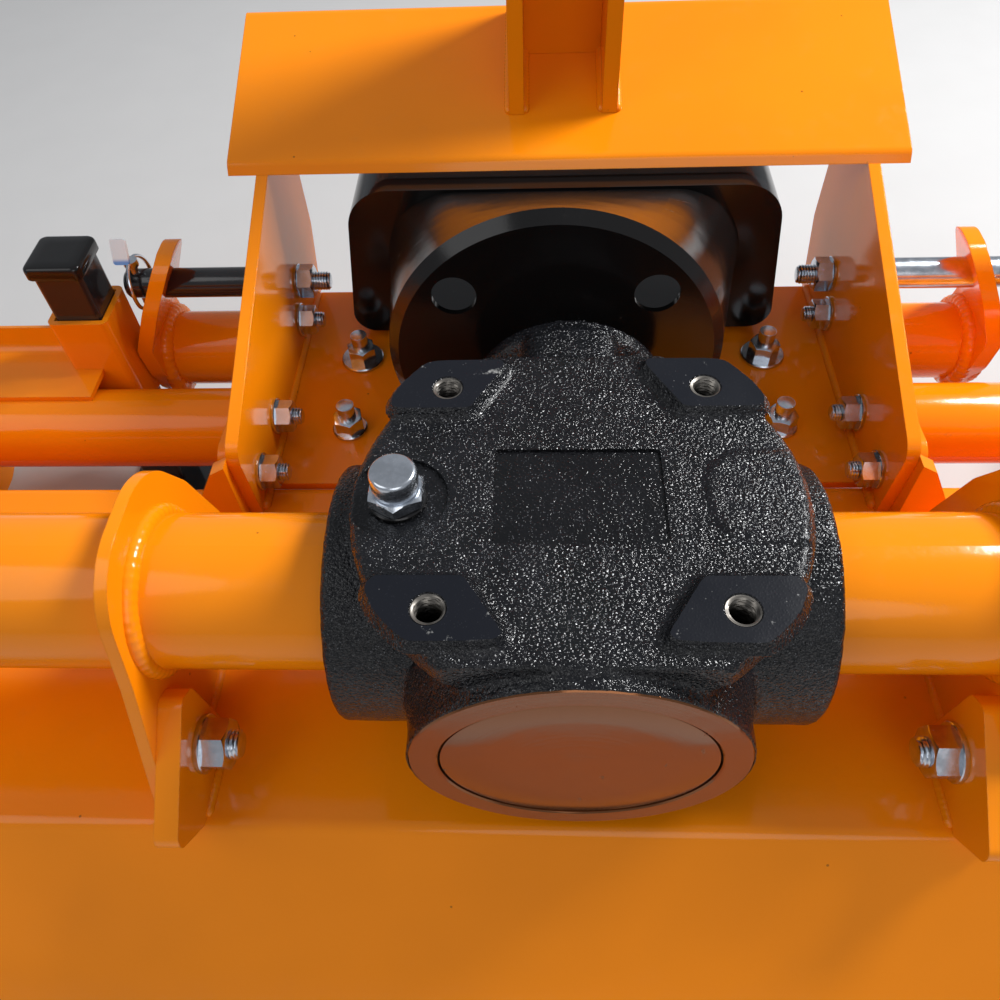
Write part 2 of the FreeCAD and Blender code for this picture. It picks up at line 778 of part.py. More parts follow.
single_pieces = [("gearbox_housing", gearbox_housing), ("rear_cap", rear_cap), ("filler_plug", filler_plug),
                 ("input_shaft", input_shaft), ("output_shaft", output_shaft), ("hood_deck", hood_deck),
                 ("headstock_base", headstock_base), ("headstock_hood", hood_plate), ("mast_web", mast_web),
                 ("cross_tube", cross_tube), ("front_tube", front_tube), ("pto_guard", pto_guard),
                 ("stand_sleeve", stand_sleeve), ("stand_post", stand_post_tube), ("stand_cap", stand_cap),
                 ("u_bolts", u_bolts)]
paired_pieces = [("axle_tube", axle_tube), ("saddle", saddle), ("deck_lug", deck_lug),
                 ("end_plate", end_plate), ("headstock_side", headstock_side),
                 ("headstock_foot", headstock_foot),
                 ("top_link_ear", top_link_ear), ("hitch_ear", hitch_ear), ("hitch_pin", hitch_pin),
                 ("front_shelf", front_shelf)]

for name, make in single_pieces:
    save(name, make())
for name, make in paired_pieces:
    save(name + "_left", make(-1))
    save(name + "_right", make(1))
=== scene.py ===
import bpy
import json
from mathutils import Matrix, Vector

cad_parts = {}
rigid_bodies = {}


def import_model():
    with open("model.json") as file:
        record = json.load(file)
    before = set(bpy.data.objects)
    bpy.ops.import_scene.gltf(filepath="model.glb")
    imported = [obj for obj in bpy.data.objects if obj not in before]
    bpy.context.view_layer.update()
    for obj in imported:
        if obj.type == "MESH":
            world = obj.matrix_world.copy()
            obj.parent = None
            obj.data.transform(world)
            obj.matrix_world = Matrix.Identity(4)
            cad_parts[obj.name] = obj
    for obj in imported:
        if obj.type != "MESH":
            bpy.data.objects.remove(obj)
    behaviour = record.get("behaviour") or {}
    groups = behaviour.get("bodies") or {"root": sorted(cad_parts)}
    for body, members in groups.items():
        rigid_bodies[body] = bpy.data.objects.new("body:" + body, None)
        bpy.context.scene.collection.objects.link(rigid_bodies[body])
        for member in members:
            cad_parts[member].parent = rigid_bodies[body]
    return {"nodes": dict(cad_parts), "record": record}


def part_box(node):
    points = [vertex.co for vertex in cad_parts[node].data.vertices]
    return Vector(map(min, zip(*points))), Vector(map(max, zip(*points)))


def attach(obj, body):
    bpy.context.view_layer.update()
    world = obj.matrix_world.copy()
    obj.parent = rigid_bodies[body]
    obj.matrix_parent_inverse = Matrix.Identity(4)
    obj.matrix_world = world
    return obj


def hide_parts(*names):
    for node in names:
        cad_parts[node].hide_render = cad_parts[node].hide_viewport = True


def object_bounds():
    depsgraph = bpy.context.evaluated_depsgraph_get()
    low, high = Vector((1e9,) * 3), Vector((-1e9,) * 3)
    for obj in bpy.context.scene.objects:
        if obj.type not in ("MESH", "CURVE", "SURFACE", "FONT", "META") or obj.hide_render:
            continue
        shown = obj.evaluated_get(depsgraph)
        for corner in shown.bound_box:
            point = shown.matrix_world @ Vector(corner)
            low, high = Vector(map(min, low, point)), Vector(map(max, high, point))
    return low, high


bl_info = {
    "name": "Rotavator Headstock",
    "version": (1, 0, 0),
    "blender": (4, 5, 0),
    "location": "3D View > Sidebar > Rotavator",
    "description": "Dresses the packed headstock and gearbox of a tractor rotavator for a photograph",
    "category": "Object",
}

import json
import math

import bmesh
import bpy
import numpy as np
from bpy.props import FloatProperty, FloatVectorProperty, IntProperty, PointerProperty
from mathutils import Matrix, Vector, noise

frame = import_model()
nodes = frame["nodes"]
cad_low, cad_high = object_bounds()

AXLE_Z = -0.080  # the output shaft's height below the part's origin, in metres
MM = 0.001
TURN = 2 * math.pi


def place(x, y, z):
    """A point in millimetres from the crossing of the two shafts, as a place in the part's frame."""
    return Vector((x * MM, y * MM, z * MM + AXLE_Z))


def reach(node, axis):
    """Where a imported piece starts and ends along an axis, in millimetres from the shafts' crossing."""
    low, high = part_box(node)
    shift = (0, 0, AXLE_Z)[axis]
    return (low[axis] - shift) / MM, (high[axis] - shift) / MM


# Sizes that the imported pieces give, in millimetres from the crossing of the shafts
SIDE_INNER = reach("headstock_side_right", 0)[0]
SADDLE_OUTER = reach("saddle_right", 0)[1]
LUG_INNER = reach("deck_lug_right", 0)[0]
EAR_INNER, EAR_OUTER = reach("hitch_ear_right", 0)
FRAME_HALF = reach("end_plate_right", 0)[1]
BASE_TOP = reach("headstock_base", 2)[1]

# Sizes of the solids that their boxes don't give, in the same millimetres
DECK_TOP = -92.0
FOOT_OUTER = 214.0  # outer face of the headstock's feet
AXLE_RADIUS, PIPE_RADIUS = 38.05, 30.15
CROSS_Y, FRONT_Y, TUBES_Z = 228, 320, -128.0  # axes of the two tubes in front of the axle
PIN_Y, PIN_Z = 303, -48  # axis of the hitch pins
PAD_TOP, PAD_HOLE = 80.0, 57.5  # top of the pads, and their holes' distance from each shaft
PLUG_X, PLUG_Y = -75, -1
EAR_SHIFT = 7  # how far in from the solids the bent ears start
HOOD_BACK_Y, HOOD_BACK_Z = 113, -31  # back corner of the side plates, under the hood
HOOD_SLOPE = math.tan(math.radians(20.5))

SIDES = ((-1, "left"), (1, "right"))


# Settings

class CastingSettings(bpy.types.PropertyGroup):
    voxel: FloatProperty(name="Cell size", description="Cell of the mesh that rounds the cast edges",
                         default=0.0016, min=0.001, max=0.004, unit="LENGTH")
    smoothing: IntProperty(name="Smoothing passes", description="How far the cast edges are rounded",
                           default=2, min=0, max=20)
    unevenness: FloatProperty(name="Unevenness", description="Height of the waves in the cast skin",
                              default=0.00022, min=0.0, max=0.001, unit="LENGTH")
    thread_pitch: FloatProperty(name="Thread pitch", description="Pitch of the threads in the pads",
                                default=0.00175, min=0.001, max=0.003, unit="LENGTH")


class FinishSettings(bpy.types.PropertyGroup):
    orange: FloatVectorProperty(name="Orange paint", description="Colour of the painted frame",
                                subtype="COLOR", default=(0.97, 0.27, 0.0025), size=3, min=0, max=1)
    iron: FloatVectorProperty(name="Cast iron", description="Colour of the gearbox's black gloss paint",
                              subtype="COLOR", default=(0.0045, 0.0047, 0.006), size=3, min=0, max=1)
    zinc: FloatVectorProperty(name="Zinc", description="Colour of the plated nuts and bolts",
                              subtype="COLOR", default=(0.66, 0.70, 0.76), size=3, min=0, max=1)
    plastic: FloatVectorProperty(name="Plastic", description="Colour of the guard and the stand's cap",
                                 subtype="COLOR", default=(0.006, 0.0055, 0.0055), size=3, min=0, max=1)
    grain: FloatProperty(name="Cast grain", description="Height of the sand grain in the cast skin",
                         default=0.00036, min=0.0, max=0.002, unit="LENGTH")
    edge: FloatProperty(name="Edge radius", description="Radius that catches light along sheet edges",
                        default=0.0009, min=0.0, max=0.003, unit="LENGTH")


class FastenerSettings(bpy.types.PropertyGroup):
    across_flats: FloatProperty(name="Across flats", description="Width of an M12 nut across its flats",
                                default=0.019, min=0.01, max=0.04, unit="LENGTH")
    pin_nut: FloatProperty(name="Pin nut", description="Width of a hitch pin's nut across its flats",
                           default=0.0215, min=0.01, max=0.04, unit="LENGTH")
    nut_height: FloatProperty(name="Nut height", description="Height of an M12 nut",
                              default=0.0105, min=0.004, max=0.03, unit="LENGTH")
    ear_flare: FloatProperty(name="Ear flare", description="How far the hitch ears bend outward",
                             default=0.038, min=0.0, max=0.038, unit="LENGTH")
    weld: FloatProperty(name="Weld size", description="Radius of a weld bead",
                        default=0.0034, min=0.001, max=0.01, unit="LENGTH")


class StageSettings(bpy.types.PropertyGroup):
    floor: FloatVectorProperty(name="Floor", description="Colour of the floor", subtype="COLOR",
                               default=(0.56, 0.555, 0.55), size=3, min=0, max=1)
    key: FloatProperty(name="Key lamp", description="Power of the main soft lamp", default=86.0, min=0)
    fill: FloatProperty(name="Surroundings", description="Strength of the light from all round",
                        default=0.34, min=0)


SETTINGS = {"casting": CastingSettings, "finish": FinishSettings, "fasteners": FastenerSettings,
            "stage": StageSettings}


def settings(group):
    return getattr(bpy.context.scene, "rotavator_" + group)


# Shader maths

class Value:
    """An output socket; arithmetic on it adds Math nodes to its material."""

    def __init__(self, shader, socket):
        self.shader, self.socket = shader, socket

    def maths(self, operation, first, second=0.0):
        return self.shader.node("ShaderNodeMath", {"operation": operation}, [first, second])

    def __add__(self, other):
        return self.maths("ADD", self, other)

    def __sub__(self, other):
        return self.maths("SUBTRACT", self, other)

    def __rsub__(self, other):
        return self.maths("SUBTRACT", other, self)

    def __mul__(self, other):
        return self.maths("MULTIPLY", self, other)

    __radd__ = __add__
    __rmul__ = __mul__

    def band(self, low, high):
        """0 below low, 1 above high and a smooth step between."""
        return self.shader.node("ShaderNodeMapRange", {"interpolation_type": "SMOOTHSTEP"},
                                {"Value": self, "From Min": low, "From Max": high})


class Shader:
    """A material and its one Principled shader."""

    def __init__(self, name):
        self.material = bpy.data.materials.new(name)
        self.material.use_nodes = True
        self.tree = self.material.node_tree
        self.surface = self.tree.nodes["Principled BSDF"]
        self.coordinates = self.node("ShaderNodeTexCoord", {}, {}, "Object")

    def node(self, kind, choices, inputs, output=0):
        """Adds a node: its choices are set first, then its inputs, by name or in order."""
        node = self.tree.nodes.new(kind)
        for key, choice in choices.items():
            setattr(node, key, choice)
        pairs = inputs.items() if isinstance(inputs, dict) else enumerate(inputs)
        for key, value in pairs:
            self.feed(node.inputs[key], value)
        return Value(self, node.outputs[output])

    def feed(self, socket, value):
        if isinstance(value, Value):
            self.tree.links.new(value.socket, socket)
        elif isinstance(value, (tuple, list)) and len(value) == 3 and socket.type == "RGBA":
            socket.default_value = (*value, 1.0)
        else:
            socket.default_value = value

    def set(self, **sockets):
        for key, value in sockets.items():
            self.feed(self.surface.inputs[key.replace("_", " ")], value)
        return self

    def grain(self, scale, detail=2.0, rough=0.5, stretch=None):
        where = self.coordinates
        if stretch:
            where = self.node("ShaderNodeMapping", {}, {"Vector": where, "Scale": stretch})
        return self.node("ShaderNodeTexNoise", {}, {"Vector": where, "Scale": scale, "Detail": detail,
                                                    "Roughness": rough})

    def cells(self, scale):
        return self.node("ShaderNodeTexVoronoi", {"feature": "F1"},
                         {"Vector": self.coordinates, "Scale": scale})

    def blend(self, mask, first, second):
        """Mixes two colours by a mask from 0 to 1."""
        return self.node("ShaderNodeMix", {"data_type": "RGBA"}, {0: mask, 6: first, 7: second}, 2)

    def facing(self):
        """How far the surface faces up, from -1 to 1."""
        normal = self.node("ShaderNodeNewGeometry", {}, {}, "Normal")
        return self.node("ShaderNodeSeparateXYZ", {}, [normal], 2)

    def height(self):
        """Height in the part's frame, which is 0 at the top of the pads."""
        return self.node("ShaderNodeSeparateXYZ", {}, [self.coordinates], 2)

    def corners(self):
        """How sharp the surface is: over 0.5 on outer edges."""
        return self.node("ShaderNodeNewGeometry", {}, {}, "Pointiness")

    def bump(self, relief, distance, edge=0.0):
        """Relief of a height in metres; edge is the radius of the light along sharp edges."""
        inputs = {"Height": relief, "Distance": distance, "Strength": 1.0}
        if edge:
            inputs["Normal"] = self.node("ShaderNodeBevel", {"samples": 3}, {"Radius": edge})
        return self.node("ShaderNodeBump", {}, inputs)


def tint(colour, factor):
    return tuple(min(1.0, c * factor) for c in colour)


finishes = {}


def finish(name):
    """A finish by name, made when it is first asked for."""
    if name not in finishes:
        finishes[name] = FINISH_MAKERS[name]()
    return finishes[name]


def orange_paint():
    """Thick gloss enamel on steel: slight tone shifts, orange peel, faint dust and dark specks."""
    look = settings("finish")
    shader = Shader("orange_enamel")
    colour = tuple(look.orange)
    drift = shader.grain(6.0, 3.0).band(0.35, 0.65)
    tone = shader.blend(drift, tint(colour, 0.95), tint(colour, 1.03))
    smudge = shader.grain(38.0, 4.0, 0.6).band(0.55, 0.75)
    dust = shader.facing().band(0.7, 0.97) * shader.grain(70.0, 5.0, 0.7).band(0.5, 0.85)
    specks = shader.cells(46.0).band(0.045, 0.02) * shader.grain(9.0).band(0.50, 0.56)
    tone = shader.blend(dust * 0.05, tone, (0.46, 0.30, 0.14))
    tone = shader.blend(specks * 0.75, tone, (0.16, 0.045, 0.004))
    peel = shader.grain(420.0, 2.0) * 0.6 + shader.grain(50.0, 2.0) * 2.0
    shader.set(Base_Color=tone, Roughness=0.11 + smudge * 0.08 + dust * 0.12,
               Normal=shader.bump(peel, 0.00006, look.edge))
    return shader.set(Specular_IOR_Level=0.32, Coat_Weight=0.05, Coat_Roughness=0.03).material


def cast_iron():
    """Sand-cast iron under black gloss paint: pebbly skin with painted glints, smooth machined pads with
    scuffed edges.
    """
    look = settings("finish")
    shader = Shader("black_cast_iron")
    colour = tuple(look.iron)
    height, facing = shader.height(), shader.facing()
    top = height.band(-0.0011, -0.0005) * facing.band(0.75, 0.92)
    floor = height.band(-0.0078, -0.0072) * height.band(-0.0056, -0.0060)
    floor = floor * facing.band(0.8, 0.95)
    skin = 1.0 - top - floor * 0.45
    pebbles = shader.cells(640.0).band(0.75, 0.0)
    grit = shader.cells(1250.0).band(0.7, 0.0)
    lumps = shader.grain(330.0, 2.0)
    milling = shader.cells(900.0).band(0.6, 0.1) * top * 0.04
    relief = (pebbles + grit * 0.4 + lumps * 1.1) * skin + milling
    scuff = shader.corners().band(0.56, 0.66) * shader.grain(260.0, 4.0, 0.7).band(0.44, 0.62)
    scuff = scuff * height.band(-0.012, -0.004)
    wear = shader.grain(95.0, 6.0, 0.72).band(0.635, 0.69) * top
    chips = shader.cells(260.0).band(0.10, 0.05) * shader.grain(70.0, 2.0).band(0.48, 0.56)
    marks = (scuff * 0.9 + wear * 0.6 + chips * 0.4).band(0.0, 1.0)
    # painted highlights: pale dots in the base colour stand in for glints of light on the pebbly skin
    painted_glint = shader.cells(820.0).band(0.26, 0.10) * shader.grain(210.0, 3.0, 0.7).band(0.42, 0.56)
    painted_glint = painted_glint * (skin * 0.85 + 0.06) * shader.grain(16.0, 2.0).band(0.25, 0.6)
    shade = shader.blend(shader.grain(60.0, 3.0).band(0.3, 0.7), tint(colour, 0.75), tint(colour, 1.4))
    shade = shader.blend(top, shade, (0.005, 0.006, 0.010))
    shade = shader.blend(floor * 0.4, shade, (0.002, 0.002, 0.0025))
    shade = shader.blend(painted_glint, shade, (0.17, 0.175, 0.19))
    shade = shader.blend(marks, shade, (0.30, 0.30, 0.29))
    matt = shader.grain(33.0, 3.0).band(0.35, 0.7)
    shader.set(Base_Color=shade, Roughness=0.13 + matt * 0.05 + top * 0.09 + marks * 0.25,
               Normal=shader.bump(relief, look.grain))
    return shader.set(Specular_IOR_Level=0.36, Coat_Weight=0.05, Coat_Roughness=0.1).material


def machined_iron():
    """Bright tapped iron at the mouth of the threads, oily, with painted shade that darkens it further
    down the hole.
    """
    shader = Shader("tapped_iron")
    oil = shader.grain(240.0, 3.0).band(0.35, 0.7)
    # painted shade: the colour darkens deeper in the hole, where shade falls
    painted_hole_shade = shader.height().band(-0.003, -0.010)
    shade = shader.blend(oil, (0.24, 0.22, 0.195), (0.09, 0.083, 0.075))
    shade = shader.blend(painted_hole_shade, shade, (0.02, 0.018, 0.016))
    return shader.set(Base_Color=shade, Roughness=0.3 + oil * 0.15, Metallic=0.8,
                      Normal=shader.bump(shader.grain(1500.0), 0.00001)).material


def gloss_black():
    """Black gloss enamel on steel, with faint scratches and dust."""
    shader = Shader("black_enamel")
    scratch = shader.grain(120.0, 3.0, 0.6, (14.0, 1.0, 14.0)).band(0.70, 0.76)
    dust = shader.facing().band(0.7, 0.98) * shader.grain(170.0, 5.0, 0.75).band(0.5, 0.85)
    shade = shader.blend(scratch * 0.25 + dust * 0.08, (0.013, 0.013, 0.015), (0.20, 0.19, 0.18))
    return shader.set(Base_Color=shade, Roughness=0.16 + dust * 0.25 + scratch * 0.2,
                      Normal=shader.bump(shader.grain(300.0), 0.00004),
                      Coat_Weight=0.3, Coat_Roughness=0.05).material


def cover_black():
    """Pressed rear cover and the turned ring round it: mirroring metal with a brown tint that is a
    painted reflection of the orange deck, circular marks.
    """
    shader = Shader("black_cover")
    spread = 9.0  # the marks reach 1/9 m out
    where = shader.node("ShaderNodeMapping", {}, {"Vector": shader.coordinates,
                                                  "Location": (0.0, 0.0, -AXLE_Z * spread),
                                                  "Scale": (spread, 0.0, spread)})
    turning = shader.node("ShaderNodeTexGradient", {"gradient_type": "SPHERICAL"}, [where])
    lines = shader.node("ShaderNodeTexNoise", {"noise_dimensions": "1D"},
                        {"W": turning * 260.0, "Scale": 1.0, "Detail": 3.0})
    scratch = shader.grain(45.0, 4.0, 0.7, (3.0, 1.0, 1.0)).band(0.66, 0.70)
    spots = shader.cells(70.0).band(0.10, 0.04) * shader.grain(20.0).band(0.5, 0.6)
    # painted reflection: the brown base colour stands in for the orange deck mirrored in the cover;
    # spots and scratches darken it
    shade = shader.blend(spots * 0.7 + scratch * 0.15, (0.24, 0.095, 0.038), (0.02, 0.012, 0.01))
    relief = lines * 0.35 + shader.grain(42.0, 2.0) * 3.2
    return shader.set(Base_Color=shade, Roughness=0.10 + scratch * 0.2 + spots * 0.3, Metallic=0.85,
                      Normal=shader.bump(relief, 0.00006)).material


def zinc_plate():
    """Bright zinc on steel, cool and slightly clouded."""
    shader, colour = Shader("zinc_plate"), tuple(settings("finish").zinc)
    cloud = shader.grain(120.0, 4.0, 0.6).band(0.35, 0.7)
    dull = shader.grain(500.0, 3.0, 0.7).band(0.6, 0.8)
    shade = shader.blend(cloud, tint(colour, 0.88), tint(colour, 1.1))
    shade = shader.blend(dull * 0.18, shade, (0.25, 0.25, 0.25))
    return shader.set(Base_Color=shade, Roughness=0.19 + cloud * 0.06 + dull * 0.08, Metallic=1.0,
                      Normal=shader.bump(shader.grain(500.0, 2.0), 0.00002)).material


def bare_steel():
    """Ground shaft steel with a thin film of grease."""
    shader = Shader("shaft_steel")
    lines = shader.grain(60.0, 2.0, 0.5, (1.0, 1.0, 26.0))
    film = shader.grain(90.0, 3.0).band(0.4, 0.7)
    shade = shader.blend(film, (0.50, 0.50, 0.51), (0.26, 0.25, 0.24))
    return shader.set(Base_Color=shade, Roughness=0.24 + film * 0.16, Metallic=1.0,
                      Normal=shader.bump(lines, 0.00005)).material


def guard_plastic():
    """Moulded black plastic with a gloss skin: soft waves, fine dust and a few scuffs."""
    shader, colour = Shader("guard_plastic"), tuple(settings("finish").plastic)
    dust = shader.grain(230.0, 5.0, 0.8).band(0.58, 0.8)
    scuff = shader.grain(26.0, 5.0, 0.7, (1.0, 5.0, 1.0)).band(0.66, 0.74)
    shade = shader.blend(dust * 0.05 + scuff * 0.06, colour, (0.24, 0.19, 0.16))
    relief = shader.grain(28.0, 2.0) * 5.0 + shader.grain(800.0) * 0.25
    return shader.set(Base_Color=shade, Roughness=0.16 + dust * 0.12 + scuff * 0.2,
                      Specular_IOR_Level=0.4, Normal=shader.bump(relief, 0.00007)).material


def tag_plastic():
    """Pale plastic of the linchpin's tag."""
    shader = Shader("tag_plastic")
    wash = shader.height().band(-0.0945, -0.0915)  # bluer towards its lower end
    shade = shader.blend(wash, (0.15, 0.36, 0.80), (0.84, 0.95, 1.0))
    return shader.set(Base_Color=shade, Roughness=0.3 + shader.grain(300.0) * 0.1,
                      Normal=shader.bump(shader.grain(500.0), 0.00003)).material


FINISH_MAKERS = {"orange": orange_paint, "iron": cast_iron, "machined": machined_iron,
                 "black": gloss_black, "cover": cover_black, "zinc": zinc_plate, "steel": bare_steel,
                 "plastic": guard_plastic, "tag": tag_plastic}

# The finish of each of the record's material slots
SLOT_FINISH = {"orange_paint": "orange", "black_casting": "iron", "black_paint": "black",
               "machined_cap": "cover", "zinc": "zinc", "bare_steel": "steel",
               "black_plastic": "plastic"}


# Mesh building

def put(name, data):
    """A new object with this data, in the scene."""
    item = bpy.data.objects.new(name, data)
    bpy.context.scene.collection.objects.link(item)
    return item


def full_turn(steps):
    return [TURN * i / steps for i in range(steps)]


def saw(height, pitch, turn):
    """How far a thread dips towards its axis at a place, from 0 to 1."""
    return abs(((height / pitch - turn / TURN) % 1.0) * 2 - 1)


def hexagon_edge(flats, turns, shift=0.0):
    """Radius of a hexagon's edge at each turn; shift turns its corners."""
    return [flats / 2 / math.cos(((t + shift) % (TURN / 6)) - TURN / 12) for t in turns]


def around(path, i, loop):
    """The points before and after one of a path; an open path's ends stand for their own neighbours."""
    before = path[i - 1] if (i or loop) else path[0]
    after = path[(i + 1) % len(path)] if (loop or i + 1 < len(path)) else path[-1]
    return before, after


class Spot:
    """Round coordinates about an axis: radius, turn and height along it, in millimetres."""

    def __init__(self, origin, axis):
        self.origin, self.axis = Vector(origin), Vector(axis).normalized()
        self.first = self.axis.orthogonal().normalized()
        self.second = self.axis.cross(self.first)

    def at(self, radius, turn, height):
        across = self.first * math.cos(turn) + self.second * math.sin(turn)
        return self.origin + across * radius + self.axis * height


class Form:
    """Points and faces of one piece, gathered ring by ring in millimetres from the axle."""

    def __init__(self):
        self.points, self.faces = [], []

    def rings(self, rings, loop=False, caps=True):
        """Skins a row of closed rings of equal count; loop joins the last ring to the first."""
        base, count = len(self.points), len(rings[0])
        for ring in rings:
            self.points.extend(place(*point) for point in ring)
        spans = len(rings) if loop else len(rings) - 1
        for row in range(spans):
            here, there = base + row * count, base + (row + 1) % len(rings) * count
            for i in range(count):
                j = (i + 1) % count
                self.faces.append((here + i, here + j, there + j, there + i))
        if caps and not loop:
            self.faces.append(tuple(base + i for i in range(count))[::-1])
            last = base + (len(rings) - 1) * count
            self.faces.append(tuple(last + i for i in range(count)))
        return self

    def lathe(self, spot, profile, steps=64, loop=False, caps=True):
        """Revolves rows of (radius, height)."""
        turns = full_turn(steps)
        return self.rings([[spot.at(r, t, h) for t in turns] for r, h in profile], loop, caps)

    def hexagon(self, spot, flats, low, high, bore=0.0, chamfer=0.97):
        """Hexagon with a turned chamfer on its top, with a bore or closed."""
        turns = full_turn(72)
        edge = hexagon_edge(flats, turns)
        rim = flats / 2 * chamfer
        fall = [max(0.0, r - rim) * 0.58 for r in edge]
        outer = [[spot.at(r, t, low) for r, t in zip(edge, turns)],
                 [spot.at(r, t, high - f) for r, t, f in zip(edge, turns, fall)],
                 [spot.at(rim, t, high) for t in turns]]
        if not bore:
            return self.rings(outer)
        inner = [[spot.at(bore, t, high) for t in turns], [spot.at(bore, t, low) for t in turns]]
        return self.rings(outer + inner, loop=True)

    def washer(self, spot, radius, bore, low, thick, ease=0.5):
        return self.lathe(spot, [(bore, low), (radius - ease * 0.6, low), (radius, low + ease),
                                 (radius, low + thick - ease), (radius - ease, low + thick),
                                 (bore, low + thick)], 48, loop=True)

    def stud(self, spot, diameter, low, high, pitch, depth=0.0):
        """Threaded end with a small point; depth is that of the thread."""
        depth = depth or pitch * 0.54
        radius, turns = diameter / 2, full_turn(30)
        rows = max(4, int((high - low) / pitch * 6))
        rings = []
        for row in range(rows + 1):
            height = low + (high - low) * row / rows
            ease = min(1.0, (high - height) / (pitch * 0.9))
            ring = []
            for t in turns:
                r = radius - depth * saw(height, pitch, t) - (1 - ease) * depth * 0.9
                ring.append(spot.at(r, t, height))
            rings.append(ring)
        rings.append([spot.at(radius * 0.55, t, high + 0.3) for t in turns])
        return self.rings(rings)

    def weld(self, path, radius, loop=False, ripple=3.1, seed=0.0, swell=0.05):
        """Weld bead along a path: faint ripples that swell and fall a little."""
        path = [Vector(p) for p in path]
        if loop:
            path.append(path[0])
        lengths = [(b - a).length for a, b in zip(path, path[1:])]
        total = sum(lengths)
        count = max(6, int(total / (ripple / 4)))
        if loop:
            count = max(8, round(total / ripple) * 4)
        centres = []
        for i in range(count + (0 if loop else 1)):
            want = total * i / count
            k = 0
            while k < len(lengths) - 1 and want > lengths[k]:
                want -= lengths[k]
                k += 1
            centres.append(path[k].lerp(path[k + 1], want / max(lengths[k], 1e-6)))
        rings = []
        for i, centre in enumerate(centres):
            before, after = around(centres, i, loop)
            spot = Spot(centre, after - before)
            if abs(spot.axis.dot(Vector((1, 0, 0)))) < 0.9:
                spot.first = spot.axis.cross(Vector((1, 0, 0))).normalized()
            else:
                spot.first = spot.axis.cross(Vector((0, 0, 1))).normalized()
            spot.second = spot.axis.cross(spot.first)
            drift = noise.noise(centre * 0.09 + Vector((seed, 0, 0)))
            grow = 1 + swell * (math.sin(TURN * i / 4) + 2 * drift)
            ends = 1.0 if loop else min(1.0, 0.45 + min(i, len(centres) - 1 - i) * 0.2)
            rings.append([spot.at(radius * grow * ends, TURN * k / 12, 0) for k in range(12)])
        return self.rings(rings, loop)

    def rod(self, path, radius, steps=14, loop=False):
        """Round wire along a path of points."""
        path = [Vector(p) for p in path]
        rings, side = [], None
        for i, centre in enumerate(path):
            before, after = around(path, i, loop)
            spot = Spot(centre, after - before)
            if side is not None:
                spot.first = (side - spot.axis * side.dot(spot.axis)).normalized()
                spot.second = spot.axis.cross(spot.first)
            side = spot.first
            rings.append([spot.at(radius, TURN * k / steps, 0) for k in range(steps)])
        return self.rings(rings, loop)

    def mesh(self, name):
        mesh = bpy.data.meshes.new(name)
        mesh.from_pydata([tuple(p) for p in self.points], [], self.faces)
        return mesh

    def piece(self, name, look, slot, body="frame", replaces=(), crease=32.0):
        return dress(name, self.mesh(name), look, body, replaces, crease)


def dress(name, mesh, look, body="frame", replaces=(), crease=32.0):
    """Makes the shown piece of a mesh: outward faces, smooth shading with creases, finish and body."""
    mesh.update()
    mesh.validate()
    outward(mesh)
    mesh.shade_smooth()
    mesh.set_sharp_from_angle(angle=math.radians(crease))
    mesh.materials.clear()
    mesh.materials.append(finish(look))
    piece = put(name, mesh)
    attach(piece, body)
    if replaces:
        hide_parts(*replaces)
    return piece


def outward(mesh):
    form = bmesh.new()
    form.from_mesh(mesh)
    bmesh.ops.recalc_face_normals(form, faces=form.faces)
    form.to_mesh(mesh)
    form.free()


def circle(x, radius, y=0.0, z=0.0, start=0.0, stop=360.0, count=72):
    """Points of a ring about a tube that runs across the machine; the turn starts at the top."""
    points = []
    for i in range(count + 1):
        a = math.radians(start + (stop - start) * i / count)
        points.append((x, y + radius * math.sin(a), z + radius * math.cos(a)))
    return points[:-1] if stop - start >= 360 else points


def rounded(rows, steps=8):
    """Outline through rows of (u, v, radius) with rounded corners."""
    points = []
    for i, row in enumerate(rows):
        here = Vector(row[:2])
        back, ahead = (Vector(rows[i - 1][:2]) - here), (Vector(rows[(i + 1) % len(rows)][:2]) - here)
        back, ahead, half = back.normalized(), ahead.normalized(), back.angle(ahead) / 2
        centre = here + (back + ahead).normalized() * (row[2] / math.sin(half))
        start, stop = (here + arm * (row[2] / math.tan(half)) - centre for arm in (back, ahead))
        points += [centre + start.lerp(stop, k / steps).normalized() * row[2] for k in range(steps + 1)]
    return [tuple(point) for point in points]


# Pieces

class ROTAVATOR_OT_finishes(bpy.types.Operator):
    """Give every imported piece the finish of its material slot"""
    bl_idname = "rotavator.finishes"
    bl_label = "Finishes"

    def execute(self, context):
        slots = {row["node"]: row["material_slot"] for row in frame["record"]["subparts"]}
        for name, node in nodes.items():
            material = finish(SLOT_FINISH[slots[name]])
            node.data.materials.clear()
            node.data.materials.append(material)
        return {"FINISHED"}


def settled(piece):
    """The piece's mesh with its modifiers applied; the piece itself goes."""
    graph = bpy.context.evaluated_depsgraph_get()
    graph.update()
    mesh = bpy.data.meshes.new_from_object(piece.evaluated_get(graph))
    bpy.data.objects.remove(piece)
    return mesh


def cutter(form):
    mesh = form.mesh("cutter")
    outward(mesh)
    tool = put("cutter", mesh)
    tool.hide_render = True
    return tool


def pad_holes():
    return [(sx * PAD_HOLE, sy * PAD_HOLE) for sx in (-1, 1) for sy in (-1, 1)]


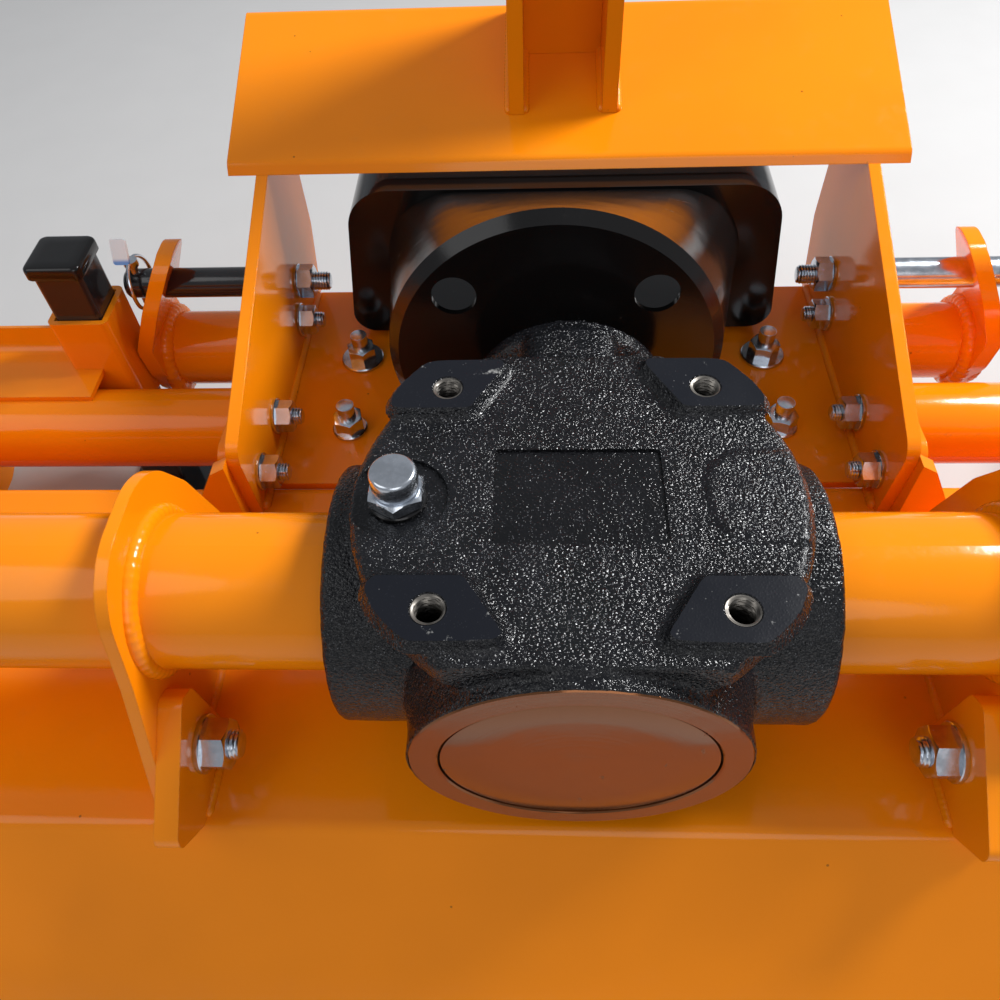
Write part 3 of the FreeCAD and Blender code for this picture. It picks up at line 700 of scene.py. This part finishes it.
class ROTAVATOR_OT_casting(bpy.types.Operator):
    """Cast housing: rounded edges, uneven skin, milled pads with holes, rear seat, panel and recess"""
    bl_idname = "rotavator.casting"
    bl_label = "Gearbox casting"

    def execute(self, context):
        look = settings("casting")
        body = put("raw_casting", nodes["gearbox_housing"].data.copy())
        remesh = body.modifiers.new("cells", "REMESH")
        remesh.mode, remesh.voxel_size = "VOXEL", look.voxel
        if look.smoothing:
            soften = body.modifiers.new("soften", "SMOOTH")
            soften.factor, soften.iterations = 0.5, look.smoothing
        mesh = settled(body)
        self.roughen(mesh, look.unevenness)
        body = put("raw_casting", mesh)
        holes = Form()
        drill = [(6.6, 0), (6.6, 24.2), (7.2, 24.8), (7.2, 40)]
        for x, y in pad_holes():
            holes.lathe(Spot((x, y, PAD_TOP - 25), (0, 0, 1)), drill, 48)
        rear = Form().lathe(Spot((0, 0, 0), (0, -1, 0)), [(71.6, 80.0), (71.6, 95)], 160)
        panel = self.block([(35.2, 24.7, 73.6), (35.4, 24.9, 79)])
        recess = Form().lathe(Spot((PLUG_X, PLUG_Y, 0), (0, 0, 1)), [(20.9, 73.1), (21.3, 79)], 96)
        milled = self.block([(95, 95, PAD_TOP), (95, 95, PAD_TOP + 6)])
        for form in (milled, holes, rear, panel, recess):
            cut = body.modifiers.new("cut", "BOOLEAN")
            cut.operation, cut.solver, cut.object = "DIFFERENCE", "EXACT", cutter(form)
        mesh = settled(body)
        for tool in [o for o in bpy.data.objects if o.name.startswith("cutter")]:
            bpy.data.objects.remove(tool)
        dress("gearbox_casting", mesh, "iron", replaces=["gearbox_housing"], crease=22)
        return {"FINISHED"}

    def block(self, levels):
        """Block of rounded outlines: rows of (half width, half depth, height)."""
        corners = [(sx, sx * sy) for sx in (-1, 1) for sy in (-1, 1)]
        rings = []
        for u, v, z in levels:
            outline = rounded([(cx * u, cy * v, 2.2) for cx, cy in corners])
            rings.append([(x, y, z) for x, y in outline])
        return Form().rings(rings)

    def roughen(self, mesh, depth):
        """Waves of a sand mould on all but the pads, which grow by what the milling takes off."""
        count = len(mesh.vertices)
        points, normals = np.empty(count * 3), np.empty(count * 3)
        mesh.vertices.foreach_get("co", points)
        mesh.vertices.foreach_get("normal", normals)
        points, normals = points.reshape(-1, 3), normals.reshape(-1, 3)
        broad, fine = 160.0, 420.0  # scales of the two layers of waves
        waves = np.array([noise.noise(Vector(p * broad)) + 0.6 * noise.noise(Vector(p * fine))
                          for p in points])
        high = np.clip((points[:, 2] + 0.0030) / 0.0022, 0.0, 1.0)
        points += normals * (waves * (1 - high) * depth)[:, None]
        points[:, 2] += high * 0.0006
        mesh.vertices.foreach_set("co", points.ravel())
        mesh.update()


class ROTAVATOR_OT_pad_threads(bpy.types.Operator):
    """Threaded holes of the four pads, with a turned countersink"""
    bl_idname = "rotavator.pad_threads"
    bl_label = "Pad threads"

    def execute(self, context):
        pitch = settings("casting").thread_pitch / MM
        depth, root, rim = 24.0, 6.05, 6.65
        form, turns = Form(), full_turn(36)
        for x, y in pad_holes():
            spot = Spot((x, y, PAD_TOP), (0, 0, 1))
            rings = [[spot.at(rim, t, -depth) for t in turns], [spot.at(rim, t, -0.5) for t in turns],
                     [spot.at(6.45, t, -0.5) for t in turns], [spot.at(5.9, t, -0.9) for t in turns]]
            rows = int(depth / pitch * 6)
            for row in range(rows):
                height = -1.0 - (depth - 2.0) * row / rows
                rings.append([spot.at(root - 0.92 * saw(height, pitch, t), t, height) for t in turns])
            rings.append([spot.at(4.6, t, -depth + 0.8) for t in turns])
            rings.append([spot.at(0.4, t, -depth + 0.8) for t in turns])
            form.rings(rings)
        form.piece("pad_threads", "machined", "bare_steel", crease=50)
        return {"FINISHED"}


class ROTAVATOR_OT_rear_cover(bpy.types.Operator):
    """Turned ring at the back of the housing and the pressed cover in it"""
    bl_idname = "rotavator.rear_cover"
    bl_label = "Rear cover"

    def execute(self, context):
        spot = Spot((0, 0, 0), (0, -1, 0))
        ring = Form().lathe(spot, [(59.2, 79.5), (71.3, 79.5), (71.5, 80.0), (71.5, 85.3), (70.9, 85.95),
                                   (59.9, 85.98), (59.2, 85.3)], 160, loop=True)
        ring.piece("rear_ring", "cover", "machined_cap", crease=28)
        cover = Form().lathe(spot, [(57.8, 79.4), (58.6, 80.0), (58.6, 84.3), (58.2, 85.0), (57.5, 85.2),
                                    (40, 85.24), (20, 85.2), (0.5, 85.22)], 160)
        cover.piece("rear_cover", "cover", "machined_cap", replaces=["rear_cap"], crease=28)
        return {"FINISHED"}


class ROTAVATOR_OT_filler_plug(bpy.types.Operator):
    """Breather plug: sealing ring, chamfered hexagon and a tall rolled cap"""
    bl_idname = "rotavator.filler_plug"
    bl_label = "Filler plug"

    def execute(self, context):
        spot = Spot((PLUG_X, PLUG_Y, 73.5), (0, 0, 1))
        Form().washer(spot, 12.4, 5.0, -0.5, 2.1).piece("plug_seal", "plastic", "black_plastic")
        form, turns = Form(), full_turn(96)
        point = math.atan2(spot.first.y, spot.first.x) + TURN / 4  # one corner faces the back
        edge = hexagon_edge(22.0, turns, point)
        low = [max(0.0, r - 10.9) * 0.7 for r in edge]
        form.rings([[spot.at(10.4, t, 1.4) for t in turns],
                    [spot.at(r, t, 1.8 + f * 0.4) for r, t, f in zip(edge, turns, low)],
                    [spot.at(r, t, 7.6 - f) for r, t, f in zip(edge, turns, low)],
                    [spot.at(10.8, t, 7.9) for t in turns]])
        form.lathe(spot, [(9.2, 7.6), (9.75, 8.2), (9.95, 8.8), (9.95, 16.0), (9.8, 17.0), (9.3, 17.9),
                          (8.6, 18.35), (7.8, 18.45), (1.6, 18.4), (0.9, 18.15), (0.3, 18.1)], 72)
        form.piece("breather_plug", "zinc", "zinc", replaces=["filler_plug"], crease=34)
        return {"FINISHED"}


class ROTAVATOR_OT_side_bolts(bpy.types.Operator):
    """Bolts through the side plates: nuts, washers and thread ends inside, heads outside"""
    bl_idname = "rotavator.side_bolts"
    bl_label = "Side plate bolts"

    def execute(self, context):
        look = settings("fasteners")
        flats, tall = look.across_flats / MM, look.nut_height / MM
        # places of the bolts, seen from the side: y, z
        spots = [(136, -72), (186, -72), (286, -71)]
        form = Form()
        for side, _ in SIDES:
            for y, z in spots:
                inside = Spot((side * SIDE_INNER, y, z), (-side, 0, 0))
                form.washer(inside, 12.5, 6.2, 0.0, 2.4)
                form.hexagon(inside, flats, 2.4, 2.4 + tall, bore=5.6)
                form.stud(inside, 11.8, 0.5, tall + 8.5, 1.75)
                outside = Spot((side * FOOT_OUTER, y, z), (side, 0, 0))
                form.washer(outside, 12.5, 6.2, 0.0, 2.4)
                form.hexagon(outside, flats, 2.4, 10.2)
        form.piece("side_plate_bolts", "zinc", "zinc")
        return {"FINISHED"}


class ROTAVATOR_OT_lug_bolts(bpy.types.Operator):
    """Bolts of the two deck lugs: welded in from behind, with washer, nut and thread end"""
    bl_idname = "rotavator.lug_bolts"
    bl_label = "Deck lug bolts"

    def execute(self, context):
        look = settings("fasteners")
        tall = look.nut_height / MM
        form = Form()
        for side, _ in SIDES:
            inside = Spot((side * LUG_INNER, -52, -64), (-side, 0, 0))
            form.washer(inside, 15.0, 7.8, 0.0, 3.0)
            form.hexagon(inside, 24.0, 3.0, 3.0 + tall * 1.15, bore=7.3)
            form.stud(inside, 15.6, -11.5, tall + 9.5, 2.0)
        form.piece("deck_lug_bolts", "zinc", "zinc")
        return {"FINISHED"}


class ROTAVATOR_OT_u_bolt_nuts(bpy.types.Operator):
    """Nuts, plate washers and thread ends on the U-bolts that hold the headstock"""
    bl_idname = "rotavator.u_bolt_nuts"
    bl_label = "U-bolt nuts"

    def execute(self, context):
        look = settings("fasteners")
        flats, tall = look.across_flats / MM, look.nut_height / MM
        offset = PIPE_RADIUS + 6.0  # the U-bolts are of 12 mm rod
        form = Form()
        for side, _ in SIDES:
            for way in (-1, 1):
                spot = Spot((side * 150, CROSS_Y + way * offset, BASE_TOP), (0, 0, 1))
                form.washer(spot, 14.0 + 1.8 * way, 6.4, 0.0, 3.0, 0.8)
                form.hexagon(spot, flats, 3.0, 3.0 + tall, bore=5.9)
                form.stud(spot, 12.1, 2.0, 24.2, 1.75, 0.35)
        form.piece("u_bolt_nuts", "zinc", "zinc")
        return {"FINISHED"}


class ROTAVATOR_OT_hitch_pins(bpy.types.Operator):
    """Hitch pins with a thinner threaded end and nut, and the linchpin with its tag on the left"""
    bl_idname = "rotavator.hitch_pins"
    bl_label = "Hitch pins"

    def execute(self, context):
        y, z = PIN_Y, PIN_Z
        flats, nuts = settings("fasteners").pin_nut / MM, Form()
        for side, word in SIDES:
            ends = [abs(x) for x in reach("hitch_pin_" + word, 0)]
            inner, outer = min(ends), max(ends)
            pin = Form().lathe(Spot((0, y, z), (side, 0, 0)),
                               [(6.0, SIDE_INNER + 0.4), (11.0, SIDE_INNER + 0.4), (11.0, outer - 1.8),
                                (9.6, outer), (0.5, outer)], 64)
            look, slot = (("zinc", "zinc") if side > 0 else ("black", "black_paint"))
            pin.piece("hitch_pin_%s_turned" % word, look, slot, replaces=["hitch_pin_" + word])
            inside = Spot((side * SIDE_INNER, y, z), (-side, 0, 0))
            nuts.washer(inside, 12.6, 6.8, 0.0, 2.5)
            nuts.hexagon(inside, flats, 2.5, 13.5, bore=6.7)
            nuts.stud(inside, 14.0, -0.8, SIDE_INNER - inner - 0.5, 2.0)
        nuts.piece("hitch_pin_nuts", "zinc", "zinc")
        clip = Form()
        x = -(EAR_OUTER + 19)
        clip.rod([(x, y, z + 19), (x, y, z + 6), (x, y, z - 17)], 3.6)
        knob = [(3.0, 0), (5.2, 0.8), (5.6, 3), (5.2, 6), (2.5, 7)]
        clip.lathe(Spot((x, y, z + 15), (0, 0, 1)), knob, 28)
        loop = [(x + 2 * math.sin(a) ** 2, y + 19 * math.sin(a), z + 1 + 19.5 * math.cos(a))
                for a in (math.radians(-150 + 300 * i / 40) for i in range(41))]
        clip.rod(loop, 1.5, 10)
        clip.piece("linchpin", "zinc", "zinc")
        tag, outline = Form(), []
        for cx, cy in ((-1, -1), (-1, 1), (1, 1), (1, -1)):
            for i in range(5):
                a = math.atan2(cy, cx) + math.radians(36 - 18 * i)
                outline.append((cx * 3.6 + 2.0 * math.cos(a), cy * 7.0 + 2.0 * math.sin(a)))
        rise, run = 0.89, 0.45  # the tag leans back against the loop
        y, z = PIN_Y - 15, PIN_Z + 39
        tag.rings([[(x + 5 + u, y + v * run - h * rise, z + v * rise + h * run) for u, v in outline]
                   for h in (0.0, 0.4, 2.2, 2.6)])
        tag.piece("linchpin_tag", "tag", "zinc")
        return {"FINISHED"}


class ROTAVATOR_OT_hitch_ears(bpy.types.Operator):
    """Ears of the hitch pins, bent outward from the pin to the front tube's end"""
    bl_idname = "rotavator.hitch_ears"
    bl_label = "Hitch ears"

    def execute(self, context):
        look = settings("fasteners")
        outline = rounded([(284, -17, 20), (322, -17, 20), (337, -60, 18), (356, -128, 30),
                           (340, -166, 24), (302, -166, 24), (281, -122, 24), (271, -52, 22)])
        for side, word in SIDES:
            form = Form().rings([[(side * x, y, z) for y, z in outline]
                                 for x in (EAR_INNER - EAR_SHIFT, EAR_OUTER - EAR_SHIFT)])
            piece = form.piece("hitch_ear_%s_bent" % word, "orange", "orange_paint",
                               replaces=["hitch_ear_" + word], crease=40)
            self.bend(piece.data, side, look.ear_flare)
        return {"FINISHED"}

    def bend(self, mesh, side, flare):
        """Leans the ear outward between two heights, in thinner strips at the slope's ends."""
        form = bmesh.new()
        form.from_mesh(mesh)
        high, low, strips = -15.0, -98.0, 15
        for k in (0, 1, 2, 3, 12, 13, 14, 15):
            everything = list(form.verts) + list(form.edges) + list(form.faces)
            bmesh.ops.bisect_plane(form, geom=everything, plane_no=(0, 0, 1),
                                   plane_co=place(0, 0, high + (low - high) * k / strips))
        for vert in form.verts:
            depth = ((vert.co.z - AXLE_Z) / MM - high) / (low - high)
            vert.co.x += side * flare * min(1.0, max(0.0, depth * 1.1 - 0.05))
        form.to_mesh(mesh)
        form.free()


class ROTAVATOR_OT_stand_cap(bpy.types.Operator):
    """Moulded cap on the stand's post, with rounded corners and a soft top edge"""
    bl_idname = "rotavator.stand_cap"
    bl_label = "Stand cap"

    def execute(self, context):
        low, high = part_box("stand_cap")
        x0, x1 = low.x / MM, high.x / MM
        y0, y1 = low.y / MM, high.y / MM
        z0, z1 = (low.z - AXLE_Z) / MM, (high.z - AXLE_Z) / MM
        form = Form()

        def ring(inset, z, radius):
            """The cap's rounded outline at a height, drawn in by the inset."""
            points = []
            for cx, cy, start in ((x1, y1, 0), (x0, y1, 90), (x0, y0, 180), (x1, y0, 270)):
                mx = cx - math.copysign(inset + radius, cx - (x0 + x1) / 2)
                my = cy - math.copysign(inset + radius, cy - (y0 + y1) / 2)
                for i in range(9):
                    a = math.radians(start + 90 * i / 8)
                    points.append((mx + radius * math.cos(a), my + radius * math.sin(a), z))
            return points

        form.rings([ring(3.1, z0, 3.0), ring(0.5, z0, 5.0), ring(0.0, z0 + 0.6, 5.4),
                    ring(0.0, z1 - 3.2, 5.4), ring(0.4, z1 - 1.6, 5.2), ring(1.4, z1 - 0.5, 4.8),
                    ring(3.0, z1, 4.2), ring(10.0, z1 - 0.1, 2.0)])
        form.piece("stand_post_cap", "plastic", "black_plastic", "stand", ["stand_cap"], crease=40)
        return {"FINISHED"}


class ROTAVATOR_OT_welds(bpy.types.Operator):
    """Weld beads of the frame, painted over with it"""
    bl_idname = "rotavator.welds"
    bl_label = "Weld beads"

    def execute(self, context):
        size = settings("fasteners").weld / MM
        form = Form()
        for side, _ in SIDES:
            self.saddle(form, side, size)
            self.headstock(form, side, size)
            self.hitch(form, side, size)
            self.ends(form, side, size)
        form.piece("weld_beads", "orange", "orange_paint", crease=60)
        return {"FINISHED"}

    def saddle(self, form, side, size):
        outer, inner = side * (SADDLE_OUTER + 0.4), side * (SADDLE_OUTER - 6.4)
        ring = AXLE_RADIUS + 0.35
        form.weld(circle(outer, ring), size, loop=True, seed=side)
        form.weld(circle(inner, ring), size * 1.4, loop=True, ripple=4.5, seed=side + 5, swell=0.03)
        for x in (outer, inner):
            form.weld([(x, -88, DECK_TOP + 0.4), (x, 88, DECK_TOP + 0.4)], size * 0.8, seed=side + 2)
        lug = side * (LUG_INNER - 0.4)
        form.weld([(lug, -80, DECK_TOP + 0.4), (lug, -34, DECK_TOP + 0.4)], size * 0.8, seed=3 + side)

    def headstock(self, form, side, size):
        back = 117  # back edge of the side plates
        inner = side * (SIDE_INNER - 0.8)
        form.weld([(inner, back + 3, DECK_TOP + 1), (inner, 138, DECK_TOP + 1)], size, seed=1)
        form.weld([(inner, 150, BASE_TOP + 1), (inner, 344, BASE_TOP + 1)], size * 0.9, seed=6)
        outer = side * (FOOT_OUTER + 0.8)
        form.weld([(outer, back + 3, DECK_TOP + 1), (outer, 138, DECK_TOP + 1)], size, seed=2)
        for y in (CROSS_Y, FRONT_Y):
            form.weld(circle(outer, PIPE_RADIUS, y, TUBES_Z, -34, 34, 20), size * 1.1, seed=y * 0.1)
        gusset = back - 10.6
        form.weld([(side * x, gusset, DECK_TOP + 1) for x in (FOOT_OUTER + 28, 200)], size, seed=4)
        face = side * (SIDE_INNER + 8.6)
        form.weld([(face, y, self.hood(y) - 1.0) for y in (312, 340, 368)], size * 0.9, seed=8)
        for x in (25.6, 36.4):  # both faces of a top link ear
            form.weld([(side * x, y, self.hood(y) + 5.7) for y in (339, 380, 421)], size * 0.9, seed=x)

    def hood(self, y):
        """Height of the hood's underside, which rises to the front."""
        return HOOD_BACK_Z + (y - HOOD_BACK_Y) * HOOD_SLOPE

    def hitch(self, form, side, size):
        flare = settings("fasteners").ear_flare / MM - EAR_SHIFT
        for x, fat in ((EAR_INNER + flare - 0.6, 1.9), (EAR_OUTER + flare + 0.2, 1.0)):
            form.weld(circle(side * x, PIPE_RADIUS + 0.35, FRONT_Y, TUBES_Z), size * fat, loop=True,
                      ripple=5.0, seed=x)
        blob = circle(side * (EAR_INNER + flare - 2), 32, FRONT_Y, TUBES_Z, 205, 262, 12)
        form.weld(blob, size * 2.1, ripple=11.0, seed=side, swell=0.12)

    def ends(self, form, side, size):
        face = side * (FRAME_HALF - 8.8)
        form.weld(circle(face, AXLE_RADIUS + 0.8), size * 1.1, loop=True, seed=11)
        form.weld(circle(face, PIPE_RADIUS + 0.8, CROSS_Y, TUBES_Z), size * 1.1, loop=True, seed=12)
        form.weld([(face, -80, DECK_TOP + 1), (face, 134, DECK_TOP + 1)], size, seed=13)


class ROTAVATOR_OT_stage(bpy.types.Operator):
    """Pale floor, soft studio light and the camera at the photograph's angle"""
    bl_idname = "rotavator.stage"
    bl_label = "Stage"

    def execute(self, context):
        look = settings("stage")
        self.floor(look)
        self.lamps(look)
        self.camera()
        context.scene.view_settings.view_transform = "Standard"
        return {"FINISHED"}

    def floor(self, look):
        half, level = 7.0, cad_low.z
        mesh = bpy.data.meshes.new("floor")
        mesh.from_pydata([(-half, -half, level), (half, -half, level), (half, half, level),
                          (-half, half, level)], [], [(0, 1, 2, 3)])
        shader = Shader("studio_floor")
        speck = shader.grain(14.0, 4.0)
        shader.set(Base_Color=shader.blend(speck, tint(look.floor, 0.97), tint(look.floor, 1.03)),
                   Roughness=0.7)
        mesh.materials.append(shader.material)
        floor = put("studio_floor", mesh)

    def lamps(self, look):
        # name, place in metres, width in metres, share of the key lamp's power
        rows = [("key", (1.62, 0.95, 1.68), 0.8, 1.0), ("fill", (-1.7, -0.7, 1.6), 1.8, 0.12),
                ("back", (0.4, -2.0, 1.3), 1.6, 0.10)]
        for name, where, width, share in rows:
            lamp = bpy.data.lights.new(name, "AREA")
            lamp.shape, lamp.size, lamp.energy = "DISK", width, look.key * share
            holder = put(name, lamp)
            holder.location = where
            aim = Vector((0, 0.1, -0.1)) - Vector(where)
            holder.rotation_euler = aim.to_track_quat("-Z", "Y").to_euler()
        world = bpy.data.worlds.new("studio")
        world.use_nodes = True
        background = world.node_tree.nodes["Background"]
        background.inputs["Color"].default_value = (0.86, 0.90, 0.96, 1.0)
        background.inputs["Strength"].default_value = look.fill
        bpy.context.scene.world = world

    def camera(self):
        # solved from the pads, the rear cover and the tubes in the photograph
        right, up = Vector((0.999, 0.0267, -0.0368)), Vector((0.0017, 0.7876, 0.6162))
        back = right.cross(up).normalized()
        turn = Matrix((right.normalized(), up.normalized(), back)).transposed().to_4x4()
        focal, width = 853.9, 1000  # in the photograph's pixels
        lens = bpy.data.cameras.new("camera")
        lens.sensor_width, lens.lens = 36.0, 36.0 * focal / width
        lens.clip_start = 0.01
        camera = put("camera", lens)
        camera.matrix_world = Matrix.Translation(place(-16.5, -218.7, 350.7)) @ turn
        bpy.context.scene.camera = camera


class ROTAVATOR_PT_panel(bpy.types.Panel):
    bl_label = "Rotavator"
    bl_idname = "ROTAVATOR_PT_panel"
    bl_space_type = "VIEW_3D"
    bl_region_type = "UI"
    bl_category = "Rotavator"

    def draw(self, context):
        for group in SETTINGS:
            box = self.layout.box()
            values = settings(group)
            for key in values.__annotations__:
                box.prop(values, key)
        for operator in OPERATORS:
            self.layout.operator(operator.bl_idname)


OPERATORS = [ROTAVATOR_OT_finishes, ROTAVATOR_OT_casting, ROTAVATOR_OT_pad_threads,
             ROTAVATOR_OT_rear_cover, ROTAVATOR_OT_filler_plug, ROTAVATOR_OT_side_bolts,
             ROTAVATOR_OT_lug_bolts, ROTAVATOR_OT_u_bolt_nuts, ROTAVATOR_OT_hitch_pins,
             ROTAVATOR_OT_hitch_ears, ROTAVATOR_OT_stand_cap, ROTAVATOR_OT_welds, ROTAVATOR_OT_stage]


def register():
    for group in SETTINGS.values():
        bpy.utils.register_class(group)
    for name, group in SETTINGS.items():
        setattr(bpy.types.Scene, "rotavator_" + name, PointerProperty(type=group))
    for operator in OPERATORS:
        bpy.utils.register_class(operator)
    bpy.utils.register_class(ROTAVATOR_PT_panel)


def unregister():
    bpy.utils.unregister_class(ROTAVATOR_PT_panel)
    for operator in reversed(OPERATORS):
        bpy.utils.unregister_class(operator)
    for name in SETTINGS:
        delattr(bpy.types.Scene, "rotavator_" + name)
    for group in reversed(list(SETTINGS.values())):
        bpy.utils.unregister_class(group)


def main():
    register()
    for operator in OPERATORS:
        group, name = operator.bl_idname.split(".")
        getattr(getattr(bpy.ops, group), name)()


if __name__ == "__main__":
    main()
